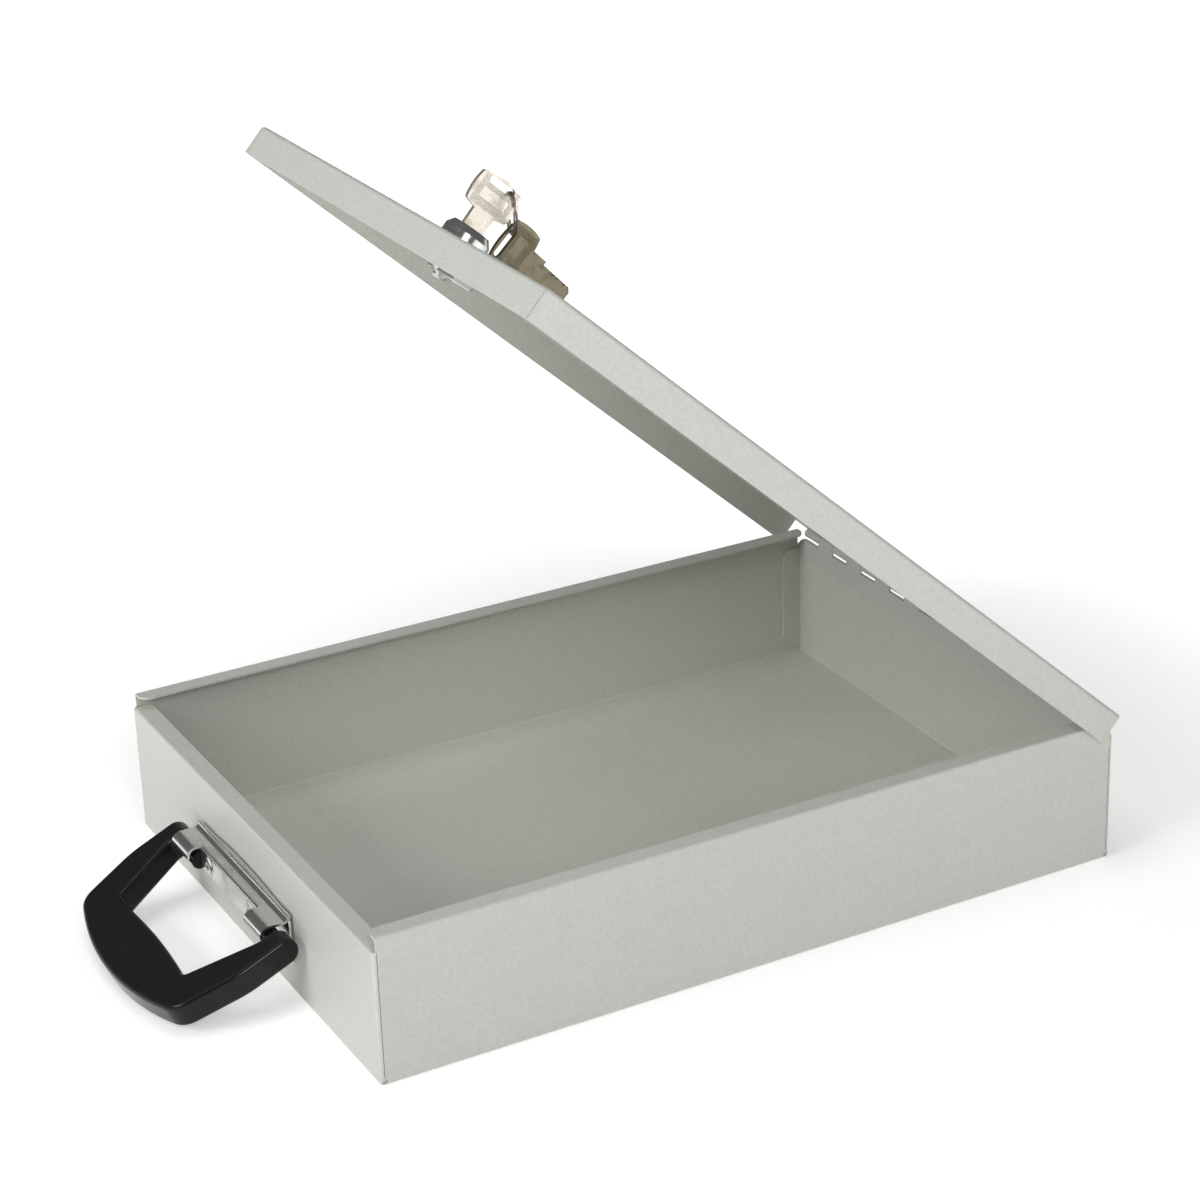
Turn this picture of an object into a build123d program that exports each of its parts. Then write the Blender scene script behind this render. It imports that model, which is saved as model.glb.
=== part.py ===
from build123d import *
import math
import os

os.makedirs("parts", exist_ok=True)

# Frame: millimetres, +Z up, origin under the middle of the tray floor.
# The handle wall faces -Y, the hinge wall faces +Y, the long walls face -X and +X.

# Tray, one folded and spot-welded blank
tray_length = 355.0
tray_width = 257.0
tray_height = 67.0
front_wall_height = 60.5
hinge_wall_height = 63.3
sheet = 1.0
bend_radius = 1.6
long_flange_width = 8.3
front_flange_width = 8.5
flange_corner_radius = 5.0
hinge_wall_corner_radius = 8.0
tab_width = 10.0
tab_bottom = 3.0
tab_top = 57.0
tab_corner_radius = 5.0
tab_chamfer = 7.0
seam_width = 0.3
relief_radius = 1.1

# Lid, shown open by lid_angle
lid_angle = 42.3
lid_width = 265.0
lid_reach = 366.5
lid_rear_gap = 2.6
lid_skirt = 14.0
lid_bend_radius = 1.8
lid_seam_width = 0.4

# Piano hinge
leaf_thickness = 0.9
barrel_radius = 2.2
pin_radius = 1.15
pin_clearance = 0.08
hinge_axis_height = 67.0
knuckle_length = 12.7
knuckle_gap = 0.25
knuckle_count = 19
tray_leaf_depth = 9.6
lid_leaf_depth = 12.0
lid_slot_reach = 3.8

# Handle bracket on the front wall
bracket_width = 98.0
bracket_top = 36.0
bracket_arch_rise = 2.5
bracket_bottom = 13.0
bracket_thickness = 1.2
bracket_corner_radius = 5.0
bracket_waist = 64.0
pivot_stand_off = 9.0
pivot_height = 29.5
saddle_length = 18.0
saddle_clearance = 0.35
stub_radius = 4.0
rivet_spacing = 44.0
rivet_height = 20.0
rivet_radius = 1.6
rivet_head_radius = 3.4
rivet_head_height = 1.3
rivet_fit = 0.02

# Carrying handle, folded down until the grip meets the table
handle_drop = 24.0
handle_half_width = 61.0
handle_reach = 60.0
handle_thickness = 12.0
handle_corner_half = 53.5
handle_corner_reach = 50.0
handle_corner_radius = 11.0
arm_end_radius = 6.0
window_reach = 37.5
window_half_at_grip = 37.0
window_corner_radius = 3.0
window_belly = 2.0
arm_side_clearance = 0.5
handle_edge_radius = 2.2

# Cam lock in the lid, 22 mm class
lock_setback = 37.2
collar_radius = 10.6
collar_height = 9.2
collar_chamfer = 2.2
barrel_outer_radius = 8.0
barrel_flat_gap = 14.0
barrel_depth = 9.7
hole_clearance = 0.1
plug_radius = 5.6
plug_clearance = 0.07
plug_face_radius = 6.9
plug_face_depth = 1.6
plug_tail_square = 6.0
washer_radius = 10.5
washer_thickness = 0.8
nut_across_flats = 19.0
nut_thickness = 3.2
cam_thickness = 1.6
cam_width = 11.0
cam_reach = 23.0
cam_end_radius = 4.0
cam_hub_radius = 7.0
cam_washer_radius = 5.0
cam_washer_thickness = 0.6
screw_radius = 1.7
screw_head_radius = 3.4
screw_head_height = 1.8
screw_grip = 2.4
wafer_count = 5
wafer_pitch = 2.3
wafer_thickness = 1.0
wafer_half_width = 4.6
wafer_window_half = 4.1
wafer_rise = 0.9

# Keys and ring
key_thickness = 2.1
bow_width = 21.8
bow_side = 13.2
bow_bulge = 1.7
bow_side_bulge = 0.9
neck_width = 10.9
neck_length = 8.9
blade_width = 7.6
blade_length = 18.0
blade_thickness = 1.9
blade_tip = 1.8
bit_depth = 1.0
bow_slot_length = 13.6
bow_slot_width = 3.2
bow_slot_inset = 2.9
panel_length = 13.2
panel_width = 4.3
panel_depth = 0.2
panel_centre = 9.6
key_corner_radius = 0.8
key_stand_off = 0.3
step_width = 0.8
step_depth = 0.25
ring_radius = 8.4
ring_wire = 0.95
ring_turns_gap = 0.25
ring_yaw = 15.0
ring_gap = 0.3
spare_lean = 43.5
spare_drop = 0.35

half_length = tray_length / 2
half_width = tray_width / 2
front_face = -half_length
hinge_face = half_length
inner_half_width = half_width - sheet
tilt = math.radians(lid_angle)

# The hinge barrel is tangent to the leaf that is welded inside the hinge wall
hinge_axis_y = hinge_face - sheet - leaf_thickness + barrel_radius
hinge_axis = Vector(0, hinge_axis_y, hinge_axis_height)
lid_forward = Vector(0, -math.cos(tilt), math.sin(tilt))
lid_up = Vector(0, math.sin(tilt), math.cos(tilt))
lid_under = barrel_radius
lid_top = lid_under + sheet

# Lid frame: x as the tray's X, y towards the hinge, z out of the lid's top
lid_frame = Plane(origin=hinge_axis, x_dir=(1, 0, 0), z_dir=lid_up)


def lid_point(across, forward, height):
    """A point given in the lid: across it, forward of the hinge pin, above the pin."""
    return Vector(across, 0, 0) + hinge_axis + lid_forward * forward + lid_up * height


def lid_level(height):
    return lid_frame.offset(height)


# Tray body: floor, two long walls, a lower front wall and hinge wall, folded from one sheet
with BuildPart() as tray_body:
    with BuildSketch():
        Rectangle(tray_width, tray_length)
    extrude(amount=tray_height)
    folds = tray_body.edges().filter_by(Axis.Z) + tray_body.faces().sort_by(Axis.Z)[0].edges()
    fillet(folds, radius=bend_radius)
    offset(amount=-sheet, openings=tray_body.faces().sort_by(Axis.Z)[-1])
    # the front wall stops lower than the long walls
    with BuildSketch(Plane.XY.offset(front_wall_height)):
        with Locations((0, front_face)):
            Rectangle(tray_width * 1.1, 2 * bend_radius)
    extrude(amount=tray_height, mode=Mode.SUBTRACT)
    # the hinge wall stops lower too, with round upper corners
    with BuildSketch(Plane.XZ.offset(-hinge_face)):
        with Locations((0, tray_height)):
            Rectangle(tray_width * 1.1, tray_height * 0.7)
        with BuildSketch(mode=Mode.PRIVATE) as wall_left:
            with Locations((0, hinge_wall_height / 2)):
                RectangleRounded(tray_width, hinge_wall_height, hinge_wall_corner_radius)
            with Locations((0, hinge_wall_height / 4)):
                Rectangle(tray_width * 1.2, hinge_wall_height / 2)
        add(wall_left.sketch, mode=Mode.SUBTRACT)
    extrude(amount=bend_radius, both=True, mode=Mode.SUBTRACT)
    # round outer bend and inward flange along each long wall
    long_rims = tray_body.edges().filter_by(Axis.Y).group_by(Axis.Z)[-1].group_by(Axis.X)
    fillet(long_rims[0] + long_rims[-1], radius=sheet * 0.95)
    flange_centre = inner_half_width + sheet / 2 - long_flange_width / 2
    with BuildSketch(Plane.XY.offset(tray_height - sheet)):
        with Locations((flange_centre, 0), (-flange_centre, 0)):
            Rectangle(long_flange_width - sheet, tray_length - 2 * bend_radius)
        inner_corners = vertices().group_by(Axis.X)
        fillet(inner_corners[1] + inner_corners[-2], radius=flange_corner_radius)
    extrude(amount=sheet)
    # flange of the front wall
    with BuildSketch(Plane.YZ):
        with Locations((front_face + front_flange_width / 2, front_wall_height - sheet / 2)):
            Rectangle(front_flange_width, sheet)
    extrude(amount=inner_half_width - bend_radius / 2, both=True)
    front_rim = tray_body.edges().filter_by(Axis.X).filter_by_position(
        Axis.Y, front_face - 0.01, front_face + 0.01).sort_by(Axis.Z)[-1]
    fillet(front_rim, radius=sheet * 0.95)
    # end-wall tabs spot-welded against the long walls
    for end in (-1, 1):
        tab_root = end * (half_length - sheet)
        with BuildSketch(Plane.YZ.offset(-inner_half_width)):
            with Locations((tab_root - end * tab_width / 2, (tab_top + tab_bottom) / 2)):
                Rectangle(tab_width, tab_top - tab_bottom)
            free_corners = vertices().group_by(Axis.X)[0 if end > 0 else -1].sort_by(Axis.Y)
            chamfer(free_corners[0], length=tab_chamfer)
            free_corners = vertices().group_by(Axis.X)[0 if end > 0 else -1].sort_by(Axis.Y)
            fillet(free_corners[-1], radius=tab_corner_radius)
        extrude(amount=sheet)
        with BuildSketch(Plane.YZ.offset(inner_half_width - sheet)):
            with Locations((tab_root - end * tab_width / 2, (tab_top + tab_bottom) / 2)):
                Rectangle(tab_width, tab_top - tab_bottom)
            free_corners = vertices().group_by(Axis.X)[0 if end > 0 else -1].sort_by(Axis.Y)
            chamfer(free_corners[0], length=tab_chamfer)
            free_corners = vertices().group_by(Axis.X)[0 if end > 0 else -1].sort_by(Axis.Y)
            fillet(free_corners[-1], radius=tab_corner_radius)
        extrude(amount=sheet)
    # open seam between each long wall and the end wall's tab, with its relief holes
    for side in (-1, 1):
        for end in (-1, 1):
            seam_y = end * (half_length - bend_radius - seam_width)
            wall_top = front_wall_height if end < 0 else hinge_wall_height - hinge_wall_corner_radius
            with BuildSketch(Plane.YZ.offset(side * half_width)):
                with Locations((seam_y, wall_top / 2 + 2)):
                    Rectangle(seam_width, wall_top - 4)
                with Locations((seam_y, relief_radius + 0.7)):
                    Circle(relief_radius)
            extrude(amount=-side * sheet * 0.9, mode=Mode.SUBTRACT)
    # rivet holes for the handle bracket
    with BuildSketch(Plane.XZ.offset(half_length)):
        with Locations((rivet_spacing / 2, rivet_height), (-rivet_spacing / 2, rivet_height)):
            Circle(rivet_radius + rivet_fit)
    extrude(amount=-2 * sheet, mode=Mode.SUBTRACT)
tray_body.part.label = "tray_body"
export_step(tray_body.part, "parts/tray_body.step")

# Lid: a shallow tray lid with a skirt on the front and both long sides, open at the hinge
skirt_low = lid_top - lid_skirt
forward_axis = Axis(hinge_axis, lid_forward)
up_axis = Axis(hinge_axis, lid_up)
lid_span = lid_reach - lid_rear_gap
with BuildPart() as lid_shell:
    with BuildSketch(lid_level(skirt_low)):
        with Locations((0, -(lid_reach + lid_rear_gap) / 2)):
            Rectangle(lid_width, lid_span)
    extrude(amount=lid_skirt)
    top_edges = lid_shell.faces().sort_by(up_axis)[-1].edges().sort_by(forward_axis)
    fillet(top_edges[1:], radius=lid_bend_radius)
    rear_face = lid_shell.faces().sort_by(forward_axis)[0]
    low_face = lid_shell.faces().sort_by(up_axis)[0]
    offset(amount=-sheet, openings=[rear_face, low_face])
    # open seams where the front skirt meets the side skirts
    with BuildSketch(lid_level(skirt_low)):
        seam_x = lid_width / 2 - sheet - lid_seam_width
        with Locations((seam_x, -lid_reach), (-seam_x, -lid_reach)):
            Rectangle(lid_seam_width, 2 * sheet)
    extrude(amount=lid_skirt - lid_bend_radius, mode=Mode.SUBTRACT)
    # lock hole with two flats
    with BuildSketch(lid_level(lid_under)):
        with Locations((0, -(lid_reach - lock_setback))):
            Circle(barrel_outer_radius + hole_clearance)
            Rectangle(barrel_flat_gap + 2 * hole_clearance, 3 * barrel_outer_radius, mode=Mode.INTERSECT)
    extrude(amount=2 * sheet, mode=Mode.SUBTRACT)
lid_shell.part.label = "lid_shell"
export_step(lid_shell.part, "parts/lid_shell.step")

# Piano hinge: knuckles take turns, the first and last belong to the lid leaf
hinge_length = knuckle_count * knuckle_length
knuckle_starts = [-hinge_length / 2 + n * knuckle_length for n in range(knuckle_count)]
lid_knuckles = knuckle_starts[0::2]
tray_knuckles = knuckle_starts[1::2]
barrel_bore = pin_radius + pin_clearance


pin_plane = Plane(origin=hinge_axis, x_dir=(0, 1, 0), z_dir=(1, 0, 0))

with BuildPart() as hinge_tray_leaf:
    leaf_inner = hinge_face - sheet
    leaf_low = hinge_wall_height - tray_leaf_depth
    with BuildSketch(Plane.XZ.offset(-leaf_inner)):
        with Locations((0, (leaf_low + hinge_axis_height) / 2)):
            Rectangle(hinge_length, hinge_axis_height - leaf_low)
        slot_top = hinge_axis_height + 1
        slot_low = hinge_wall_height + 0.2
        with Locations(*[(start + knuckle_length / 2, (slot_top + slot_low) / 2) for start in lid_knuckles]):
            Rectangle(knuckle_length + knuckle_gap, slot_top - slot_low, mode=Mode.SUBTRACT)
    extrude(amount=leaf_thickness)
    for start in tray_knuckles:
        with BuildSketch(pin_plane.offset(start + knuckle_gap / 2)):
            Circle(barrel_radius)
        extrude(amount=knuckle_length - knuckle_gap)
    with BuildSketch(Plane.YZ.offset(-hinge_length / 2 - 1)):
        with Locations((hinge_axis_y, hinge_axis_height)):
            Circle(barrel_bore)
    extrude(amount=hinge_length + 2, mode=Mode.SUBTRACT)
hinge_tray_leaf.part.label = "hinge_tray_leaf"
export_step(hinge_tray_leaf.part, "parts/hinge_tray_leaf.step")

with BuildPart() as hinge_lid_leaf:
    with BuildSketch(lid_level(lid_under - leaf_thickness)):
        with Locations((0, -lid_leaf_depth / 2)):
            Rectangle(hinge_length, lid_leaf_depth)
        with Locations(*[(start + knuckle_length / 2, -lid_slot_reach / 2) for start in tray_knuckles]):
            Rectangle(knuckle_length + knuckle_gap, lid_slot_reach, mode=Mode.SUBTRACT)
    extrude(amount=leaf_thickness)
    for start in lid_knuckles:
        with BuildSketch(pin_plane.offset(start + knuckle_gap / 2)):
            Circle(barrel_radius)
        extrude(amount=knuckle_length - knuckle_gap)
    with BuildSketch(Plane.YZ.offset(-hinge_length / 2 - 1)):
        with Locations((hinge_axis_y, hinge_axis_height)):
            Circle(barrel_bore)
    extrude(amount=hinge_length + 2, mode=Mode.SUBTRACT)
hinge_lid_leaf.part.label = "hinge_lid_leaf"
export_step(hinge_lid_leaf.part, "parts/hinge_lid_leaf.step")

with BuildPart() as hinge_pin:
    with BuildSketch(Plane.YZ.offset(-hinge_length / 2)):
        with Locations((hinge_axis_y, hinge_axis_height)):
            Circle(pin_radius)
    extrude(amount=hinge_length)
hinge_pin.part.label = "hinge_pin"
export_step(hinge_pin.part, "parts/hinge_pin.step")

# Handle bracket: one stamping with an arched wall plate, a ledge and two half-round saddles
pivot_y = front_face - pivot_stand_off
pivot = Vector(0, pivot_y, pivot_height)
saddle_inner = stub_radius + saddle_clearance
saddle_outer = saddle_inner + bracket_thickness
ledge_top = pivot_height + saddle_outer
with BuildPart() as handle_bracket:
    with BuildSketch(Plane.XZ.offset(half_length)):
        with BuildLine():
            half = bracket_width / 2
            waist = bracket_waist / 2
            left_side = Line((-half, bracket_top), (-half, ledge_top - 4))
            left_step = Line(left_side @ 1, (-waist, bracket_bottom))
            low_edge = Line(left_step @ 1, (waist, bracket_bottom))
            right_step = Line(low_edge @ 1, (half, ledge_top - 4))
            right_side = Line(right_step @ 1, (half, bracket_top))
            ThreePointArc(right_side @ 1, (0, bracket_top + bracket_arch_rise), left_side @ 0)
        make_face()
        top_corners = vertices().group_by(Axis.Y)[-1]
        fillet(top_corners, radius=bracket_corner_radius / 2)
    extrude(amount=bracket_thickness)
    # ledge from the wall plate to the saddles
    with BuildSketch(Plane.XY.offset(ledge_top - bracket_thickness)):
        ledge_reach = pivot_stand_off
        with Locations((0, front_face - ledge_reach / 2)):
            Rectangle(bracket_width, ledge_reach)
        with Locations((0, front_face - ledge_reach)):
            Rectangle(bracket_width - 2 * saddle_length, 5.0, mode=Mode.SUBTRACT)
        cut_corners = vertices().group_by(Axis.Y)[1]
        fillet(cut_corners, radius=1.5)
    extrude(amount=bracket_thickness)
    # half-round saddles over the handle's stubs
    for side in (-1, 1):
        start = bracket_width / 2 - saddle_length if side > 0 else -bracket_width / 2
        with BuildSketch(Plane.YZ.offset(start)):
            with Locations((pivot_y, pivot_height)):
                Circle(saddle_outer)
                Circle(saddle_inner, mode=Mode.SUBTRACT)
            with Locations((pivot_y + saddle_outer, pivot_height)):
                Rectangle(2 * saddle_outer, 3 * saddle_outer, mode=Mode.SUBTRACT)
            with Locations((pivot_y - saddle_outer, pivot_height - saddle_outer - 1.5)):
                Rectangle(2 * saddle_outer + 6, 2 * saddle_outer, mode=Mode.SUBTRACT)
        extrude(amount=saddle_length)
    with BuildSketch(Plane.XZ.offset(half_length)):
        with Locations((rivet_spacing / 2, rivet_height), (-rivet_spacing / 2, rivet_height)):
            Circle(rivet_radius + rivet_fit)
    extrude(amount=2 * bracket_thickness, mode=Mode.SUBTRACT)
handle_bracket.part.label = "handle_bracket"
export_step(handle_bracket.part, "parts/handle_bracket.step")

# Two domed rivets hold the bracket to the front wall
with BuildPart() as bracket_rivets:
    rivet_places = [(rivet_spacing / 2, rivet_height), (-rivet_spacing / 2, rivet_height)]
    outer_seat = half_length + bracket_thickness
    inner_seat = half_length - sheet
    with BuildSketch(Plane.XZ.offset(inner_seat)):
        with Locations(*rivet_places):
            Circle(rivet_radius)
    extrude(amount=outer_seat - inner_seat)
    with BuildSketch(Plane.XZ.offset(outer_seat)):
        with Locations(*rivet_places):
            Circle(rivet_head_radius)
    extrude(amount=rivet_head_height)
    with BuildSketch(Plane.XZ.offset(inner_seat)):
        with Locations(*rivet_places):
            Circle(rivet_head_radius)
    extrude(amount=-rivet_head_height)
    outer_rims = bracket_rivets.edges().group_by(Axis.Y)
    fillet(outer_rims[0] + outer_rims[-1], radius=rivet_head_height * 0.9)
bracket_rivets.part.label = "bracket_rivets"
export_step(bracket_rivets.part, "parts/bracket_rivets.step")

# Handle: moulded bow with a wide grip and two stubs that turn in the saddles
drop = math.radians(handle_drop)
handle_out = Vector(0, -math.cos(drop), -math.sin(drop))
handle_face = Vector(0, -math.sin(drop), math.cos(drop))
handle_plane = Plane(origin=pivot, x_dir=(1, 0, 0), z_dir=handle_face)
arm_inner = bracket_width / 2 + arm_side_clearance
with BuildPart() as handle:
    with BuildSketch(handle_plane.offset(-handle_thickness / 2)):
        with BuildLine():
            left_arm = Line((-handle_half_width, arm_end_radius), (-handle_half_width, -handle_reach * 0.35))
            left_taper = Line(left_arm @ 1, (-handle_corner_half, -handle_corner_reach))
            grip_edge = ThreePointArc(left_taper @ 1, (0, -handle_reach), (handle_corner_half, -handle_corner_reach))
            right_taper = Line(grip_edge @ 1, (handle_half_width, -handle_reach * 0.35))
            right_arm = Line(right_taper @ 1, (handle_half_width, arm_end_radius))
            Line(right_arm @ 1, left_arm @ 0)
        make_face()
        grip_corners = vertices().group_by(Axis.Y)[0]
        fillet(grip_corners, radius=handle_corner_radius)
        bends = vertices().filter_by_position(Axis.Y, -handle_reach * 0.35 - 0.1, -handle_reach * 0.35 + 0.1)
        fillet(bends, radius=40)
        with BuildLine():
            open_side = Line((-arm_inner, arm_end_radius + 1), (arm_inner, arm_end_radius + 1))
            right_run = Line(open_side @ 1, (arm_inner, -arm_end_radius))
            right_lean = Line(right_run @ 1, (window_half_at_grip, -window_reach))
            belly = ThreePointArc(right_lean @ 1, (0, -window_reach + window_belly), (-window_half_at_grip, -window_reach))
            left_lean = Line(belly @ 1, (-arm_inner, -arm_end_radius))
            Line(left_lean @ 1, open_side @ 0)
        make_face(mode=Mode.SUBTRACT)
        window_corners = vertices().filter_by_position(Axis.Y, -window_reach - 0.1, -window_reach + 0.1)
        fillet(window_corners, radius=window_corner_radius)
    extrude(amount=handle_thickness)
    # round the arm ends about the pivot
    arm_ends = handle.edges().filter_by(Axis.X).sort_by(Axis(pivot, handle_out))[0:4]
    fillet(arm_ends, radius=arm_end_radius * 0.98)
    rims = handle.faces().filter_by(handle_plane).edges()
    fillet(rims, radius=handle_edge_radius)
    # stubs that sit in the saddles
    for side in (-1, 1):
        stub_start = arm_inner if side > 0 else -arm_inner
        with BuildSketch(Plane.YZ.offset(stub_start + side * 3)):
            with Locations((pivot_y, pivot_height)):
                Circle(stub_radius)
        extrude(amount=-side * (saddle_length + 3))
handle.part.label = "handle"
export_step(handle.part, "parts/handle.step")

# Cam lock. Its section plane holds the lock's axis: x is outwards, y is out of the lid
lock_forward = lid_reach - lock_setback
lock_centre = lid_point(0, lock_forward, 0)
lock_axis = Axis(lock_centre, lid_up)
lock_section = Plane(origin=lock_centre, x_dir=(1, 0, 0), z_dir=lid_forward)
lock_top = lid_top + collar_height
barrel_low = lid_under - barrel_depth


def lock_level(height):
    return Plane(origin=lock_centre + lid_up * height, x_dir=(1, 0, 0), z_dir=lid_up)


wafer_track_half = wafer_half_width * 0.5
with BuildPart() as lock_housing:
    with BuildSketch(lock_section):
        with BuildLine():
            Polyline(
                (plug_radius + plug_clearance, barrel_low),
                (barrel_outer_radius, barrel_low),
                (barrel_outer_radius, lid_top),
                (collar_radius, lid_top),
                (collar_radius, lock_top - collar_chamfer * 1.4),
                (collar_radius - collar_chamfer, lock_top),
                (plug_face_radius + plug_clearance, lock_top),
                (plug_face_radius + plug_clearance, lock_top - plug_face_depth - plug_clearance),
                (plug_radius + plug_clearance, lock_top - plug_face_depth - plug_clearance),
                close=True)
        make_face()
    revolve(axis=lock_axis)
    # flats that keep the barrel from turning in the lid
    with BuildSketch(lock_level(barrel_low)):
        flat_depth = barrel_outer_radius - barrel_flat_gap / 2
        with Locations((barrel_outer_radius, 0), (-barrel_outer_radius, 0)):
            Rectangle(2 * flat_depth, 2 * barrel_outer_radius)
    extrude(amount=lid_top - barrel_low, mode=Mode.SUBTRACT)
    # grooves that the wafers spring into when the key is out
    with BuildSketch(lock_level(barrel_low)):
        with Locations((0, plug_radius), (0, -plug_radius)):
            Rectangle(2 * wafer_half_width + 0.4, 2 * wafer_rise + 0.8)
        with Locations((0, 0)):
            Circle(plug_radius, mode=Mode.SUBTRACT)
    extrude(amount=lock_top - plug_face_depth - 2.0 - barrel_low, mode=Mode.SUBTRACT)
lock_housing.part.label = "lock_housing"
export_step(lock_housing.part, "parts/lock_housing.step")

# Spring washer and hexagon nut clamp the housing under the lid
with BuildPart() as lock_washer:
    with BuildSketch(lock_level(lid_under - washer_thickness)):
        Circle(washer_radius)
        Circle(barrel_outer_radius + hole_clearance, mode=Mode.SUBTRACT)
    extrude(amount=washer_thickness)
lock_washer.part.label = "lock_washer"
export_step(lock_washer.part, "parts/lock_washer.step")

nut_low = lid_under - washer_thickness - nut_thickness
with BuildPart() as lock_nut:
    with BuildSketch(lock_level(nut_low)):
        RegularPolygon(nut_across_flats / 2, 6, major_radius=False)
        Circle(barrel_outer_radius + hole_clearance, mode=Mode.SUBTRACT)
    extrude(amount=nut_thickness)
lock_nut.part.label = "lock_nut"
export_step(lock_nut.part, "parts/lock_nut.step")

# Plug: turns in the housing, slotted for the key and the wafers, square tail for the cam
plug_low = barrel_low - 0.4
tail_low = plug_low - cam_thickness
keyway_half_width = blade_width / 2 + 0.2
keyway_half_thickness = blade_thickness / 2 + 0.15
keyway_low = lock_top - blade_length - 0.5
wafer_levels = [lock_top - 4.6 - n * wafer_pitch for n in range(wafer_count)]
with BuildPart() as lock_plug:
    with BuildSketch(lock_section):
        with BuildLine():
            Polyline(
                (0, plug_low),
                (plug_radius, plug_low),
                (plug_radius, lock_top - plug_face_depth),
                (plug_face_radius, lock_top - plug_face_depth),
                (plug_face_radius, lock_top - 0.4),
                (plug_face_radius - 0.4, lock_top),
                (0, lock_top),
                close=True)
        make_face()
    revolve(axis=lock_axis)
    with BuildSketch(lock_level(tail_low)):
        Rectangle(plug_tail_square, plug_tail_square)
    extrude(amount=cam_thickness)
    with BuildSketch(lock_level(keyway_low)):
        Rectangle(2 * keyway_half_thickness, 2 * keyway_half_width)
    extrude(amount=lock_top - keyway_low + 1, mode=Mode.SUBTRACT)
    for level in wafer_levels:
        with BuildSketch(lock_level(level - 0.1)):
            Rectangle(2 * wafer_half_width * 0.6 + 0.2, 3 * plug_radius)
        extrude(amount=wafer_thickness + 0.2, mode=Mode.SUBTRACT)
    with BuildSketch(lock_level(tail_low)):
        Circle(screw_radius + rivet_fit)
    extrude(amount=screw_grip + rivet_fit, mode=Mode.SUBTRACT)
lock_plug.part.label = "lock_plug"
export_step(lock_plug.part, "parts/lock_plug.step")

# Five flat brass wafers, each with a window for the key's blade
wafer_reach = plug_radius - 0.25
with BuildPart() as lock_wafers:
    for level in wafer_levels:
        with BuildSketch(lock_level(level)):
            Rectangle(2 * wafer_half_width * 0.6, 2 * wafer_reach)
            Circle(plug_radius - 0.1, mode=Mode.INTERSECT)
            with Locations((0, 0)):
                Rectangle(2 * keyway_half_thickness, 2 * wafer_window_half + 2 * wafer_rise, mode=Mode.SUBTRACT)
        extrude(amount=wafer_thickness)
lock_wafers.part.label = "lock_wafers"
export_step(lock_wafers.part, "parts/lock_wafers.step")

# Cam: flat steel bar on the plug's square tail, it swings under the front wall's flange
with BuildPart() as lock_cam:
    with BuildSketch(lock_level(tail_low)):
        Circle(cam_hub_radius)
        with BuildLine():
            bar = Polyline((0, -cam_width / 2), (cam_reach - cam_end_radius, -cam_width / 2),
                           (cam_reach, -cam_width / 2 + cam_end_radius),
                           (cam_reach, cam_width / 2 - cam_end_radius),
                           (cam_reach - cam_end_radius, cam_width / 2), (0, cam_width / 2), close=True)
        make_face()
        Rectangle(plug_tail_square + 0.1, plug_tail_square + 0.1, mode=Mode.SUBTRACT)
    extrude(amount=cam_thickness)
lock_cam.part.label = "lock_cam"
export_step(lock_cam.part, "parts/lock_cam.step")

with BuildPart() as cam_washer:
    with BuildSketch(lock_level(tail_low - cam_washer_thickness)):
        Circle(cam_washer_radius)
        Circle(screw_radius + rivet_fit, mode=Mode.SUBTRACT)
    extrude(amount=cam_washer_thickness)
cam_washer.part.label = "cam_washer"
export_step(cam_washer.part, "parts/cam_washer.step")

screw_seat = tail_low - cam_washer_thickness
with BuildPart() as cam_screw:
    with BuildSketch(lock_section):
        with BuildLine():
            Polyline(
                (0, tail_low + screw_grip),
                (screw_radius, tail_low + screw_grip),
                (screw_radius, screw_seat),
                (screw_head_radius, screw_seat),
                (screw_head_radius, screw_seat - screw_head_height * 0.6),
                (screw_head_radius * 0.7, screw_seat - screw_head_height),
                (0, screw_seat - screw_head_height),
                close=True)
        make_face()
    revolve(axis=lock_axis)
cam_screw.part.label = "cam_screw"
export_step(cam_screw.part, "parts/cam_screw.step")


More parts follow.
